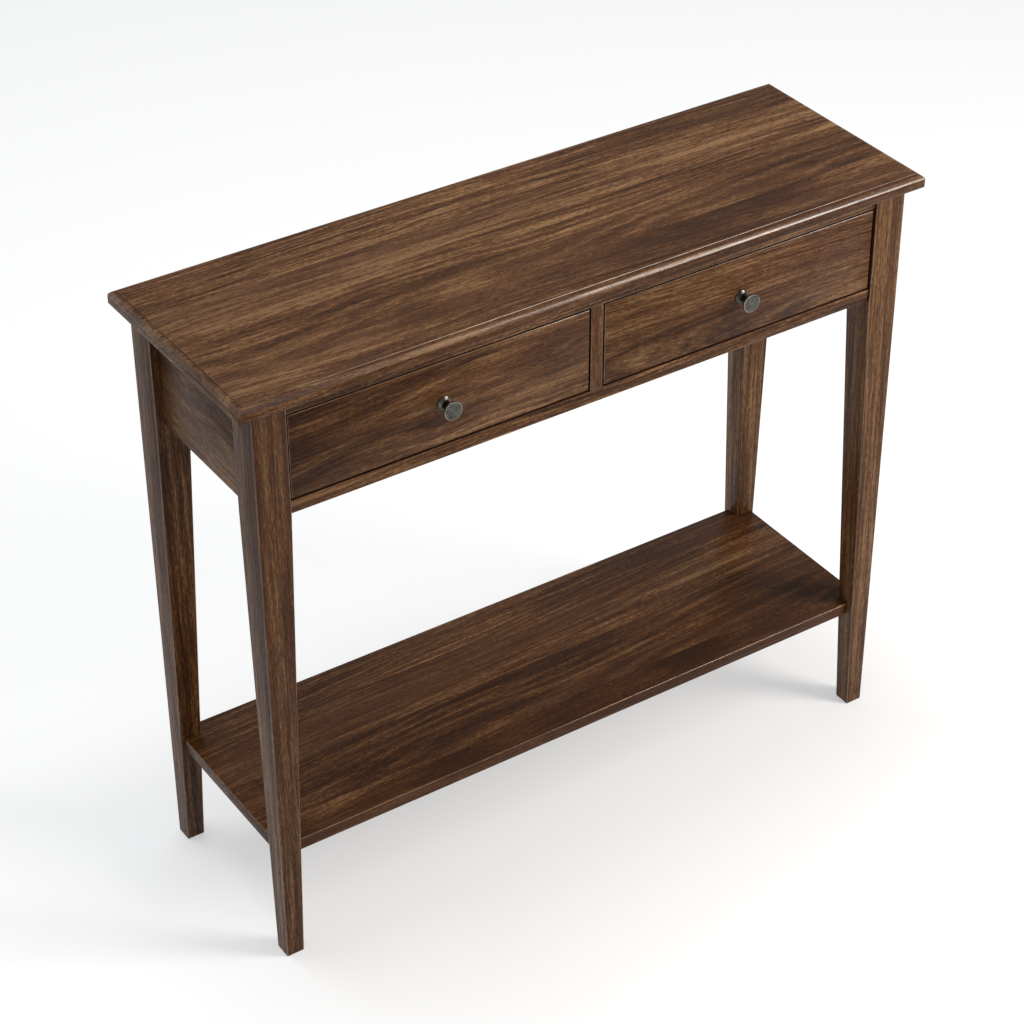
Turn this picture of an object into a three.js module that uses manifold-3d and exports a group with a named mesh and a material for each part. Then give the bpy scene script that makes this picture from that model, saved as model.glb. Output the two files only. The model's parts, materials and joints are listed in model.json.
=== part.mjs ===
// Console table: a moulded solid-wood top on four tapered legs, two inset drawers and a low shelf.
// Millimetres, +Z up, X along the length, the drawers open towards -Y.
// Pieces are drawn about the middle of the top, then moved back a little so that the origin
// is on the floor under the middle of the whole, knobs included.

import * as THREE from "three";
import { mergeVertices } from "three/addons/utils/BufferGeometryUtils.js";
import Module from "manifold-3d";

const wasm = await Module();
wasm.setup();

// ---------- Overall sizes ----------
const topLength = 1000;
const topDepth = 324;
const tableHeight = 857;
const shelfHeight = 180; // floor to the shelf's upper face

// ---------- Top ----------
const topThickness = 18;
const overhangEnd = 21; // top's edge to a leg's outer face, along X
const overhangFront = 13; // the same along Y, front and back
const stepInset = 9.5; // the raised field stops this far inside the edge
const stepDepth = 1.2;
const bandFall = 1; // the band outside the step slopes down by this much
const edgeRound = 4; // radius between the band and the vertical edge
const underEase = 0.8; // small bevel along the lower arris

// ---------- Legs ----------
const legSize = 46; // square section beside the aprons
const footSize = 25; // square section at the floor
const footBevel = 2;

// ---------- Aprons and front frame ----------
const boardThickness = 18;
const drawerOpening = 119; // clear height between the two front rails
const frameSetback = 3; // front rails and drawer fronts behind the legs' front faces
const apronSetback = 12; // side and back aprons inside the legs' outer faces
const railDepth = 40; // front rails and stile, front to back
const stileWidth = 18;

// ---------- Shelf ----------
const shelfThickness = 18;
const shelfEndInset = 5; // shelf's ends inside the legs' outer faces
const shelfFrontInset = 9.5; // shelf's long edges inside the legs' faces
const notchGap = 0.4; // room between a notch and its leg
const dowelRadius = 4;
const dowelReach = 12; // depth of a dowel in the leg, and in the shelf

// ---------- Joinery ----------
const glueLine = 0.1; // between faces that are glued or rest on each other
const tenonThickness = 8;
const tenonLength = 17;
const tenonHaunch = 12; // an apron's tenon is this much shorter at its top and bottom
const railTenonInset = 8; // a rail's tenon is this much narrower at its front and back
const stubLength = 8; // the stile's short tenons
const housingDepth = 4; // the divider's end let into the back apron
const fitGap = 0.3; // all round a tenon, dowel, tongue or screw

// ---------- Drawers ----------
const frontGap = 2.5; // all round an inset drawer front
const slideGap = 0.75; // drawer side to its guide
const runnerGap = 0.3; // drawer side to the runner that carries it
const frontThickness = 19;
const sideThickness = 12;
const tailLength = 12; // dovetails let into the drawer front
const tailCount = 4;
const tailSlope = 1 / 6;
const bottomThickness = 5;
const bottomRaise = 9; // drawer side's lower edge to the bottom panel
const grooveDepth = 5;
const backThickness = 12;
const backInset = 6; // drawer back in front of the sides' rear ends
const backDrop = 10; // the back stands lower than the sides
const drawerBackClearance = 3; // rear end of the drawer to the back apron

// ---------- Runners, guides, stops and catches ----------
const runnerWidth = 22;
const guideHeight = 20;
const stopWidth = 40;
const stopDepth = 18;
const stopRise = 4.5; // how much of the drawer front the stop meets
const catchWidth = 14;
const catchThickness = 6;
const catchRise = 8; // the catch stands this far above the opening
const catchLength = 46;

// ---------- Knobs and screws ----------
const knobReach = 23; // drawer front to the knob's face
const knobRadius = 12.7;
const knobBaseRadius = 8;
const knobNeckRadius = 4.6;
const knobRim = 3; // thickness of the disc at its edge
const knobDome = 1; // rise of the face at its middle
const boltRadius = 2;
const boltInKnob = 10;
const boltHeadRadius = 4.5;
const boltHeadHeight = 2.5;
const screwRadius = 2;
const screwInTop = 12;
const screwHeadRadius = 4.2;
const screwHeadHeight = 3;
const screwRecess = 5; // a top screw's head is sunk this far into its kicker
const catchScrewLength = 14;
const roundSegments = 24;

// ---------- Levels and places worked out from the sizes ----------
const underTop = tableHeight - topThickness;
const openingTop = underTop - boardThickness;
const openingBottom = openingTop - drawerOpening;
const apronBottom = openingBottom - boardThickness;
const legOuterX = topLength / 2 - overhangEnd;
const legOuterY = topDepth / 2 - overhangFront;
const legInnerX = legOuterX - legSize;
const legInnerY = legOuterY - legSize;
const frameFront = -legOuterY + frameSetback;
const frameBack = frameFront + railDepth;
const apronOuterX = legOuterX - apronSetback;
const apronInnerX = apronOuterX - boardThickness;
const backOuterY = legOuterY - apronSetback;
const backInnerY = backOuterY - boardThickness;
const stileHalf = stileWidth / 2;
const drawerLow = openingBottom + frontGap;
const drawerHigh = openingTop - frontGap;
const drawerInnerX = stileHalf + frontGap;
const drawerOuterX = legInnerX - frontGap;
const drawerMiddleX = (drawerInnerX + drawerOuterX) / 2;
const frontBack = frameFront + frontThickness;
const drawerEnd = backInnerY - drawerBackClearance;
const dividerHalf = drawerInnerX - slideGap;
const bottomLow = drawerLow + bottomRaise;
const bottomHigh = bottomLow + bottomThickness;
const backRear = drawerEnd - backInset;
const backFront = backRear - backThickness;
const knobHeight = (drawerLow + drawerHigh) / 2;
const frontmost = Math.min(frameFront - knobReach, -topDepth / 2);
const moveBack = -(frontmost + topDepth / 2) / 2;

// ---------- Colours ----------
const walnut = { color: 0x5e4132, roughness: 0.5, metalness: 0 };
const walnutFront = { color: 0x654735, roughness: 0.5, metalness: 0 };
const innerWood = { color: 0xb08b5f, roughness: 0.7, metalness: 0 };
const plywood = { color: 0xc4a679, roughness: 0.75, metalness: 0 };
const pewter = { color: 0x55534e, roughness: 0.35, metalness: 1 };
const steel = { color: 0x9a9a98, roughness: 0.4, metalness: 1 };

// The fixed frame, and a group for each drawer, which slides along -Y.
const table = new THREE.Group();
const frame = new THREE.Group();
const drawers = { left: new THREE.Group(), right: new THREE.Group() };
table.add(frame, drawers.left, drawers.right);
table.position.y = moveBack;

// ---------- Helpers ----------
const alongX = new THREE.Matrix4().makeBasis(
  new THREE.Vector3(0, 1, 0),
  new THREE.Vector3(0, 0, 1),
  new THREE.Vector3(1, 0, 0),
);
const alongY = new THREE.Matrix4().makeBasis(
  new THREE.Vector3(1, 0, 0),
  new THREE.Vector3(0, 0, 1),
  new THREE.Vector3(0, -1, 0),
);

// A closed geometry as a solid that can be cut and joined.
function solid(geometry) {
  geometry.deleteAttribute("normal");
  geometry.deleteAttribute("uv");
  const merged = mergeVertices(geometry, 1e-5);
  return new wasm.Manifold(new wasm.Mesh({
    numProp: 3,
    vertProperties: new Float32Array(merged.attributes.position.array),
    triVerts: new Uint32Array(merged.index.array),
  }));
}

// A rectangular block between two corners, given in any order.
function block(x0, x1, y0, y1, z0, z1) {
  const geometry = new THREE.BoxGeometry(Math.abs(x1 - x0), Math.abs(y1 - y0), Math.abs(z1 - z0));
  geometry.translate((x0 + x1) / 2, (y0 + y1) / 2, (z0 + z1) / 2);
  return solid(geometry);
}

// An outline drawn in Y and Z, extruded along X.
function prismX(outline, x0, x1) {
  const options = { depth: Math.abs(x1 - x0), bevelEnabled: false, curveSegments: 5 };
  const geometry = new THREE.ExtrudeGeometry(outline, options);
  geometry.applyMatrix4(alongX);
  geometry.translate(Math.min(x0, x1), 0, 0);
  return solid(geometry);
}

// An outline drawn in X and Z, extruded along Y.
function prismY(outline, y0, y1) {
  const options = { depth: Math.abs(y1 - y0), bevelEnabled: false, curveSegments: 5 };
  const geometry = new THREE.ExtrudeGeometry(outline, options);
  geometry.applyMatrix4(alongY);
  geometry.translate(0, Math.max(y0, y1), 0);
  return solid(geometry);
}

function outlineOf(points) {
  return new THREE.Shape(points.map(([u, v]) => new THREE.Vector2(u, v)));
}

// A round solid from a profile of [radius, distance] pairs along its axis.
function turned(profile) {
  const points = profile.map(([radius, along]) => new THREE.Vector2(radius, along));
  return new THREE.LatheGeometry(points, roundSegments);
}

// A turned profile runs along +Y as made; these lay it along the row's axes.
function pointUp(geometry) {
  return geometry.rotateX(Math.PI / 2);
}

function pointAlongX(geometry, side) {
  return geometry.rotateZ(-side * Math.PI / 2);
}

// A plain round bar for holes, from a start point along an axis.
function bar(radius, length) {
  return turned([[0, 0], [radius, 0], [radius, length], [0, length]]);
}

// Each piece's own origin is the middle of its box, and its position puts it in its group.
function addPiece(group, name, shape, finish) {
  const mesh = shape.getMesh();
  const geometry = new THREE.BufferGeometry();
  geometry.setAttribute("position", new THREE.BufferAttribute(mesh.vertProperties, 3));
  geometry.setIndex(new THREE.BufferAttribute(mesh.triVerts, 1));
  geometry.computeVertexNormals();
  geometry.computeBoundingBox();
  const middle = geometry.boundingBox.getCenter(new THREE.Vector3());
  geometry.translate(-middle.x, -middle.y, -middle.z);
  const piece = new THREE.Mesh(geometry, new THREE.MeshStandardMaterial(finish));
  piece.name = name;
  piece.position.copy(middle);
  group.add(piece);
}

const sides = [["left", -1], ["right", 1]];
const rows = [["front", -1], ["back", 1]];

// ---------- Top ----------
// The section across the top, the same shape for both directions, so that the moulding
// meets itself in a mitre at the corners.
function topSection(half) {
  const bandOuter = tableHeight - stepDepth - bandFall;
  const shape = new THREE.Shape();
  shape.moveTo(-half + underEase, underTop);
  shape.lineTo(half - underEase, underTop);
  shape.lineTo(half, underTop + underEase);
  shape.lineTo(half, bandOuter - edgeRound);
  shape.absarc(half - edgeRound, bandOuter - edgeRound, edgeRound, 0, Math.PI / 2, false);
  shape.lineTo(half - stepInset, tableHeight - stepDepth);
  shape.lineTo(half - stepInset, tableHeight);
  shape.lineTo(-half + stepInset, tableHeight);
  shape.lineTo(-half + stepInset, tableHeight - stepDepth);
  shape.lineTo(-half + edgeRound, bandOuter);
  shape.absarc(-half + edgeRound, bandOuter - edgeRound, edgeRound, Math.PI / 2, Math.PI, false);
  shape.lineTo(-half, underTop + underEase);
  return shape;
}

// Two screws go up through each kicker into the top.
const screwPlaces = [];
for (const [, side] of sides) {
  for (const middle of [legInnerX - runnerWidth / 2, dividerHalf + runnerWidth / 2]) {
    for (const y of [frameBack + railDepth, backInnerY - railDepth]) {
      screwPlaces.push([side * middle, y]);
    }
  }
}

function roundHole(radius, x, y, low, high) {
  return solid(pointUp(bar(radius + fitGap, high - low)).translate(x, y, low));
}

function makeTop() {
  let top = prismY(topSection(topLength / 2), -topDepth / 2 - 1, topDepth / 2 + 1);
  top = top.intersect(prismX(topSection(topDepth / 2), -topLength / 2 - 1, topLength / 2 + 1));
  for (const [x, y] of screwPlaces) {
    top = top.subtract(roundHole(screwRadius, x, y, underTop - 1, underTop + screwInTop + fitGap));
  }
  addPiece(frame, "table_top", top, walnut);
}

// ---------- Legs ----------
// One view of a leg: straight outside, tapered inside from the apron's lower edge to the floor.
function legOutline(sign, outer) {
  const inner = outer - legSize;
  const footInner = outer - footSize;
  return outlineOf([
    [sign * (outer - footBevel), 0],
    [sign * outer, footBevel],
    [sign * outer, underTop - glueLine],
    [sign * inner, underTop - glueLine],
    [sign * inner, apronBottom],
    [sign * footInner, footBevel],
    [sign * (footInner + footBevel), 0],
  ]);
}

// Distance from the table's middle to a leg's tapered inner face at a height.
function legInnerAt(outer, height) {
  const share = Math.min(1, Math.max(0, (apronBottom - height) / (apronBottom - footBevel)));
  return outer - legSize + share * (legSize - footSize);
}

const apronTenonLow = apronBottom + tenonHaunch;
const apronTenonHigh = underTop - tenonHaunch;
const apronMiddleX = (apronOuterX + apronInnerX) / 2;
const backMiddleY = (backOuterY + backInnerY) / 2;
const railLevels = [
  ["top", underTop - boardThickness / 2],
  ["bottom", openingBottom - boardThickness / 2],
];
const dowelLevel = shelfHeight - shelfThickness / 2;
const shelfEndX = legOuterX - shelfEndInset;
const shelfFrontY = legOuterY - shelfFrontInset;
const notchX = legInnerAt(legOuterX, shelfHeight) - notchGap;
const notchY = legInnerAt(legOuterY, shelfHeight) - notchGap;
const dowelY = (notchY + shelfFrontY) / 2;

function dowelBar(side, row, gap) {
  const start = notchX - dowelReach - gap;
  const round = bar(dowelRadius + gap, 2 * dowelReach + 2 * gap);
  return pointAlongX(round, side).translate(side * start, row * dowelY, dowelLevel);
}

function makeLeg(name, side, row) {
  const half = tenonThickness / 2 + fitGap;
  const reachX = legInnerX + tenonLength + fitGap;
  const reachY = legInnerY + tenonLength + fitGap;
  const fromFront = prismY(legOutline(side, legOuterX), row * (legInnerY - 1), row * (legOuterY + 1));
  const fromEnd = prismX(legOutline(row, legOuterY), side * (legInnerX - 1), side * (legOuterX + 1));
  let leg = fromFront.intersect(fromEnd);
  leg = leg.subtract(block(
    side * (apronMiddleX - half), side * (apronMiddleX + half),
    row * (legInnerY - 1), row * reachY,
    apronTenonLow - fitGap, apronTenonHigh + fitGap,
  ));
  if (row > 0) {
    leg = leg.subtract(block(
      side * (legInnerX - 1), side * reachX,
      backMiddleY - half, backMiddleY + half,
      apronTenonLow - fitGap, apronTenonHigh + fitGap,
    ));
  } else {
    for (const [, level] of railLevels) {
      leg = leg.subtract(block(
        side * (legInnerX - 1), side * reachX,
        frameFront + railTenonInset - fitGap, frameBack - railTenonInset + fitGap,
        level - half, level + half,
      ));
    }
  }
  addPiece(frame, name, leg.subtract(solid(dowelBar(side, row, fitGap))), walnut);
}

// ---------- Aprons ----------
function makeSideApron(name, side) {
  const reach = legInnerY + tenonLength;
  const half = tenonThickness / 2;
  const board = block(
    side * apronInnerX, side * apronOuterX,
    -legInnerY + glueLine, legInnerY - glueLine,
    apronBottom, underTop - glueLine,
  );
  const tenons = block(
    side * (apronMiddleX - half), side * (apronMiddleX + half),
    -reach, reach,
    apronTenonLow, apronTenonHigh,
  );
  addPiece(frame, name, board.add(tenons), walnut);
}

function makeBackApron() {
  const reach = legInnerX + tenonLength;
  const half = tenonThickness / 2;
  const board = block(
    -legInnerX + glueLine, legInnerX - glueLine,
    backInnerY, backOuterY,
    apronBottom, underTop - glueLine,
  );
  const tenons = block(
    -reach, reach,
    backMiddleY - half, backMiddleY + half,
    apronTenonLow, apronTenonHigh,
  );
  const housing = block(
    -dividerHalf - fitGap, dividerHalf + fitGap,
    backInnerY - 1, backInnerY + housingDepth + fitGap,
    apronBottom - 1, underTop + 1,
  );
  addPiece(frame, "apron_back", board.add(tenons).subtract(housing), walnut);
}

// ---------- Front frame ----------
function makeRail(name, level, stubSide) {
  const half = tenonThickness / 2;
  const low = level - boardThickness / 2;
  const high = level + boardThickness / 2;
  const reach = legInnerX + tenonLength;
  const board = block(
    -legInnerX + glueLine, legInnerX - glueLine,
    frameFront, frameBack,
    low, high - glueLine,
  );
  const tenons = block(
    -reach, reach,
    frameFront + railTenonInset, frameBack - railTenonInset,
    level - half, level + half,
  );
  const stubFace = stubSide > 0 ? high : low;
  const stubMortise = block(
    -half - fitGap, half + fitGap,
    frameFront + railTenonInset - fitGap, frameBack - railTenonInset + fitGap,
    stubFace - stubSide * (stubLength + fitGap), stubFace + stubSide,
  );
  addPiece(frame, name, board.add(tenons).subtract(stubMortise), walnut);
}

function makeStile() {
  const half = tenonThickness / 2;
  const post = block(
    -stileHalf, stileHalf,
    frameFront, frameBack,
    openingBottom, openingTop - glueLine,
  );
  const stubs = block(
    -half, half,
    frameFront + railTenonInset, frameBack - railTenonInset,
    openingBottom - stubLength, openingTop + stubLength,
  );
  addPiece(frame, "centre_stile", post.add(stubs), walnut);
}

// ---------- Inner frame: divider, runners, kickers and guides ----------
const carcassFront = frameBack + glueLine;
const carcassBack = backInnerY - glueLine;
const runnerTop = drawerLow - runnerGap;

function makeDivider() {
  const board = block(
    -dividerHalf, dividerHalf,
    carcassFront, backInnerY + housingDepth,
    apronBottom, underTop - glueLine,
  );
  addPiece(frame, "centre_divider", board, innerWood);
}

function makeRunnersAndKickers(word, side) {
  const spans = [
    ["outer", legInnerX - glueLine - runnerWidth, legInnerX - glueLine],
    ["inner", dividerHalf + glueLine, dividerHalf + glueLine + runnerWidth],
  ];
  for (const [place, near, far] of spans) {
    const runner = block(
      side * near, side * far,
      carcassFront, carcassBack,
      apronBottom, runnerTop,
    );
    addPiece(frame, `runner_${word}_${place}`, runner, innerWood);
    let kicker = block(
      side * near, side * far,
      carcassFront, carcassBack,
      openingTop, underTop - glueLine,
    );
    for (const [x, y] of screwPlaces) {
      if (x * side > near && x * side < far) {
        kicker = kicker.subtract(roundHole(screwRadius, x, y, openingTop - 1, underTop + 1));
        kicker = kicker.subtract(
          roundHole(screwHeadRadius, x, y, openingTop - 1, openingTop + screwRecess),
        );
      }
    }
    addPiece(frame, `kicker_${word}_${place}`, kicker, innerWood);
  }
}

function makeGuide(word, side) {
  const guide = block(
    side * (drawerOuterX + slideGap), side * (apronInnerX - glueLine),
    -legInnerY + glueLine, legInnerY - glueLine,
    runnerTop + glueLine, runnerTop + guideHeight,
  );
  addPiece(frame, `guide_${word}`, guide, innerWood);
}

function makeStop(word, side) {
  const stop = block(
    side * drawerMiddleX - stopWidth / 2, side * drawerMiddleX + stopWidth / 2,
    frontBack + fitGap, frontBack + fitGap + stopDepth,
    openingBottom, drawerLow + stopRise,
  );
  addPiece(frame, `stop_${word}`, stop, innerWood);
}

// ---------- Top screws ----------
// A pan-head screw from the top of its head, at 0, to its point.
function screwShape(length) {
  return turned([
    [0, 0],
    [screwHeadRadius * 0.7, 0],
    [screwHeadRadius, screwHeadHeight * 0.5],
    [screwHeadRadius, screwHeadHeight],
    [screwRadius, screwHeadHeight],
    [screwRadius, length - screwRadius],
    [0, length],
  ]);
}

// Head sunk in the kicker, shank through it and into the top.
function makeTopScrews() {
  const low = openingTop + screwRecess - screwHeadHeight - glueLine;
  const length = underTop + screwInTop - low;
  screwPlaces.forEach(([x, y], index) => {
    const screw = pointUp(screwShape(length)).translate(x, y, low);
    addPiece(frame, `top_screw_${index + 1}`, solid(screw), steel);
  });
}

// ---------- Shelf ----------
function makeShelf() {
  let shelf = block(
    -shelfEndX, shelfEndX,
    -shelfFrontY, shelfFrontY,
    shelfHeight - shelfThickness, shelfHeight,
  );
  for (const [, side] of sides) {
    for (const [, row] of rows) {
      shelf = shelf.subtract(block(
        side * notchX, side * (shelfEndX + 1),
        row * notchY, row * (shelfFrontY + 1),
        shelfHeight - shelfThickness - 1, shelfHeight + 1,
      ));
      shelf = shelf.subtract(solid(dowelBar(side, row, fitGap)));
    }
  }
  addPiece(frame, "shelf", shelf, walnut);
}

// ---------- Drawer ----------
// The sides' tails flare towards the drawer front, and sit in sockets cut in its ends.
const tailPitch = (drawerHigh - drawerLow) / tailCount;
const tailHalf = tailPitch * 0.3;
const tailFlare = tailLength * tailSlope / 2;
const sideFront = frontBack + glueLine;

function sideOutline() {
  const points = [[drawerEnd, drawerLow], [drawerEnd, drawerHigh], [sideFront, drawerHigh]];
  for (let index = tailCount - 1; index >= 0; index -= 1) {
    const level = drawerLow + (index + 0.5) * tailPitch;
    points.push([sideFront, level + tailHalf - tailFlare]);
    points.push([frontBack - tailLength, level + tailHalf + tailFlare]);
    points.push([frontBack - tailLength, level - tailHalf - tailFlare]);
    points.push([sideFront, level - tailHalf + tailFlare]);
  }
  points.push([sideFront, drawerLow]);
  return outlineOf(points);
}

function socketOutline(index) {
  const level = drawerLow + (index + 0.5) * tailPitch;
  const deep = frontBack - tailLength - fitGap;
  const mouth = tailHalf - tailFlare + fitGap;
  const wide = tailHalf + tailFlare + fitGap;
  return outlineOf([
    [frontBack + fitGap, level - mouth],
    [deep, level - wide],
    [deep, level + wide],
    [frontBack + fitGap, level + mouth],
  ]);
}

const nearPanel = drawerInnerX + sideThickness - grooveDepth;
const farPanel = drawerOuterX - sideThickness + grooveDepth;

// The bottom panel's own space, or with a gap the groove that it slides in.
function panelBlock(side, gap, rear) {
  return block(
    side * (nearPanel - gap), side * (farPanel + gap),
    frontBack - grooveDepth - gap, rear,
    bottomLow - gap, bottomHigh + gap,
  );
}

function backBlock(side, gap) {
  return block(
    side * (nearPanel - gap), side * (farPanel + gap),
    backFront - gap, backRear + gap,
    bottomHigh + fitGap - gap, drawerHigh - backDrop + gap,
  );
}

// Hole or shaft along Y, from a start towards +Y.
function crossBar(radius, x, z, start, end) {
  return solid(bar(radius, end - start).translate(x, start, z));
}

function makeDrawerFront(group, name, side) {
  let front = block(
    side * drawerInnerX, side * drawerOuterX,
    frameFront, frontBack,
    drawerLow, drawerHigh,
  );
  const ends = [
    [drawerInnerX - 1, drawerInnerX + sideThickness + fitGap],
    [drawerOuterX - sideThickness - fitGap, drawerOuterX + 1],
  ];
  for (const [near, far] of ends) {
    for (let index = 0; index < tailCount; index += 1) {
      front = front.subtract(prismX(socketOutline(index), side * near, side * far));
    }
  }
  front = front.subtract(panelBlock(side, fitGap, frontBack + 1));
  const boltHole = crossBar(
    boltRadius + fitGap, side * drawerMiddleX, knobHeight, frameFront - 1, frontBack + 1,
  );
  addPiece(group, name, front.subtract(boltHole), walnutFront);
}

function makeDrawerSide(group, name, side, near, far) {
  const board = prismX(sideOutline(), side * near, side * far);
  const grooved = board.subtract(panelBlock(side, fitGap, drawerEnd + 1));
  addPiece(group, name, grooved.subtract(backBlock(side, fitGap)), innerWood);
}

// The turn-button inside the drawer's back, which meets the top rail and stops the drawer.
const catchFront = backFront - glueLine - catchThickness;
const catchTop = openingTop + catchRise;
const catchScrewLevel = catchTop - catchRise - catchLength / 2;
const catchScrewStart = catchFront - glueLine - screwHeadHeight;

function makeCatch(group, name, side) {
  const middle = side * drawerMiddleX;
  const button = block(
    middle - catchWidth / 2, middle + catchWidth / 2,
    catchFront, backFront - glueLine,
    catchTop - catchLength, catchTop,
  );
  const hole = crossBar(
    screwRadius + fitGap, middle, catchScrewLevel, catchFront - 1, backFront + 1,
  );
  addPiece(group, name, button.subtract(hole), innerWood);
  const screw = screwShape(catchScrewLength).translate(middle, catchScrewStart, catchScrewLevel);
  addPiece(group, `${name}_screw`, solid(screw), steel);
}

function makeDrawerBack(group, name, side) {
  const pilot = crossBar(
    screwRadius + fitGap, side * drawerMiddleX, catchScrewLevel,
    backFront - 1, catchScrewStart + catchScrewLength + fitGap,
  );
  addPiece(group, name, backBlock(side, 0).subtract(pilot), innerWood);
}

// ---------- Knob ----------
// Flange on the drawer front, waisted neck and a shallow domed disc, turned in one piece,
// with a blind hole for its bolt.
function knobProfile() {
  const hole = boltRadius + fitGap;
  const holeEnd = boltInKnob + fitGap;
  const flange = 2;
  const rimEnd = knobReach - knobDome;
  const rimStart = rimEnd - knobRim;
  const edge = knobRim / 2;
  const neck = new THREE.CubicBezierCurve(
    new THREE.Vector2(knobBaseRadius - 0.8, flange + 0.8),
    new THREE.Vector2(knobNeckRadius - 0.8, flange + 3),
    new THREE.Vector2(knobNeckRadius - 0.6, rimStart - 4),
    new THREE.Vector2(knobRadius - edge, rimStart),
  );
  const rim = new THREE.EllipseCurve(
    knobRadius - edge, rimStart + edge, edge, edge, -Math.PI / 2, Math.PI / 2,
  );
  const dome = new THREE.QuadraticBezierCurve(
    new THREE.Vector2(knobRadius - edge, rimEnd),
    new THREE.Vector2(knobRadius * 0.45, knobReach),
    new THREE.Vector2(0, knobReach),
  );
  return [
    [0, holeEnd],
    [hole, holeEnd],
    [hole, glueLine],
    [knobBaseRadius, glueLine],
    [knobBaseRadius, flange],
    ...neck.getPoints(8).map((point) => point.toArray()),
    ...rim.getPoints(6).slice(1).map((point) => point.toArray()),
    ...dome.getPoints(4).slice(1).map((point) => point.toArray()),
  ];
}

function makeKnob(group, name, side) {
  const knob = turned(knobProfile()).rotateX(Math.PI);
  knob.translate(side * drawerMiddleX, frameFront, knobHeight);
  addPiece(group, name, solid(knob), pewter);
  const start = frontBack + glueLine + boltHeadHeight;
  const bolt = turned([
    [0, 0],
    [boltHeadRadius, 0],
    [boltHeadRadius, boltHeadHeight],
    [boltRadius, boltHeadHeight],
    [boltRadius, start - frameFront + boltInKnob],
    [0, start - frameFront + boltInKnob],
  ]).rotateX(Math.PI);
  bolt.translate(side * drawerMiddleX, start, knobHeight);
  addPiece(group, `${name}_bolt`, solid(bolt), steel);
}

function makeDrawer(word, side) {
  const group = drawers[word];
  const name = `drawer_${word}`;
  const outer = drawerOuterX - sideThickness;
  makeDrawerFront(group, `${name}_front`, side);
  makeDrawerSide(group, `${name}_side_outer`, side, outer, drawerOuterX);
  makeDrawerSide(group, `${name}_side_inner`, side, drawerInnerX, drawerInnerX + sideThickness);
  makeDrawerBack(group, `${name}_back`, side);
  addPiece(group, `${name}_bottom`, panelBlock(side, 0, backRear), plywood);
  makeKnob(group, `${name}_knob`, side);
  makeCatch(group, `${name}_catch`, side);
}

// ---------- Assembly ----------
makeTop();
for (const [word, side] of sides) {
  for (const [place, row] of rows) {
    makeLeg(`leg_${place}_${word}`, side, row);
    const dowel = solid(dowelBar(side, row, 0));
    addPiece(frame, `shelf_dowel_${place}_${word}`, dowel, innerWood);
  }
  makeSideApron(`apron_${word}`, side);
  makeRunnersAndKickers(word, side);
  makeGuide(word, side);
  makeStop(word, side);
  makeDrawer(word, side);
}
makeBackApron();
for (const [place, level] of railLevels) {
  makeRail(`rail_${place}`, level, place === "top" ? -1 : 1);
}
makeStile();
makeDivider();
makeTopScrews();
makeShelf();

export default table;
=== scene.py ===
# %% [markdown]
# # A walnut console table
# This lesson dresses a finished cabinet-maker's model in Blender. The model already has every
# board, tenon, drawer side and screw in its true place, so here we only do what the eye sees:
# we ease the sharp arrises, work the moulding on the top, turn the knobs, and make the walnut.
# The model is loaded first. It is the fixed frame that everything else is measured from.

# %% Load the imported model
import json
from math import radians

import bmesh
import bpy
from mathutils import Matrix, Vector

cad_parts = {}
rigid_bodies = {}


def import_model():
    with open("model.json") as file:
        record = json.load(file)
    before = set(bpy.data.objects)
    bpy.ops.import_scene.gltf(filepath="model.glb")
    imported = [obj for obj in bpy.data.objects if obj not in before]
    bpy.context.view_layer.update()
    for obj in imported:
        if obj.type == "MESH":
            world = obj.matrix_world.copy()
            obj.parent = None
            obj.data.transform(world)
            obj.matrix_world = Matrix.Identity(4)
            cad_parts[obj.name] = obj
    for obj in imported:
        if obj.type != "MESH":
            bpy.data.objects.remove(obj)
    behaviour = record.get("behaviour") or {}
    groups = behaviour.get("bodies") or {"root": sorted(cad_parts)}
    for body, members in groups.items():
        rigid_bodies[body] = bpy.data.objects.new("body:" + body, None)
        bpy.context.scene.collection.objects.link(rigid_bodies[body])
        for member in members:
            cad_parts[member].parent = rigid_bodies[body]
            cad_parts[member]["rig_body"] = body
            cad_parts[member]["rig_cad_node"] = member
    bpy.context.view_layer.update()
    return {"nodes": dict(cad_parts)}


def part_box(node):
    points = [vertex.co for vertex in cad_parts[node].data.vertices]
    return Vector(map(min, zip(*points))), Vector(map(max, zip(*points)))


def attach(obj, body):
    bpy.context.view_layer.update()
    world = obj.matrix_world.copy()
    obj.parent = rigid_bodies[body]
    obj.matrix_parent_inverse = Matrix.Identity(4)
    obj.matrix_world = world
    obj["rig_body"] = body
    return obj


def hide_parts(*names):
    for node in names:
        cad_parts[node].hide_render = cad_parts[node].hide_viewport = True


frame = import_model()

# %% [markdown]
# ## Working in edit mode from a script
# By hand we would click faces and edges. In a script we choose them by where they are or which
# way they face, and then run the same operators. Operators act on everything selected, so each
# helper first lets go of what was picked before.

# %% Helpers for picking and for edit mode
TINY = 0.00005
WELD = 1e-6


def let_go():
    for thing in bpy.context.selected_objects:
        thing.select_set(False)


def pick(piece):
    let_go()
    piece.select_set(True)
    bpy.context.view_layer.objects.active = piece


def give_empty_slots(piece, count=3):
    """Keeps places for the finishes, so that bevels can already hand faces to them."""
    piece.data.materials.clear()
    for _ in range(count):
        piece.data.materials.append(None)


def edit(piece, mode):
    pick(piece)
    bpy.ops.object.mode_set(mode="EDIT")
    bpy.ops.mesh.select_mode(type=mode)
    bpy.ops.mesh.select_all(action="DESELECT")


def leave_edit():
    bpy.ops.object.mode_set(mode="OBJECT")


def choose_faces(piece, wanted):
    mesh = bmesh.from_edit_mesh(piece.data)
    for face in mesh.faces:
        face.select_set(bool(wanted(face.calc_center_median(), face.normal)))
    mesh.select_flush_mode()
    bmesh.update_edit_mesh(piece.data)


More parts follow.
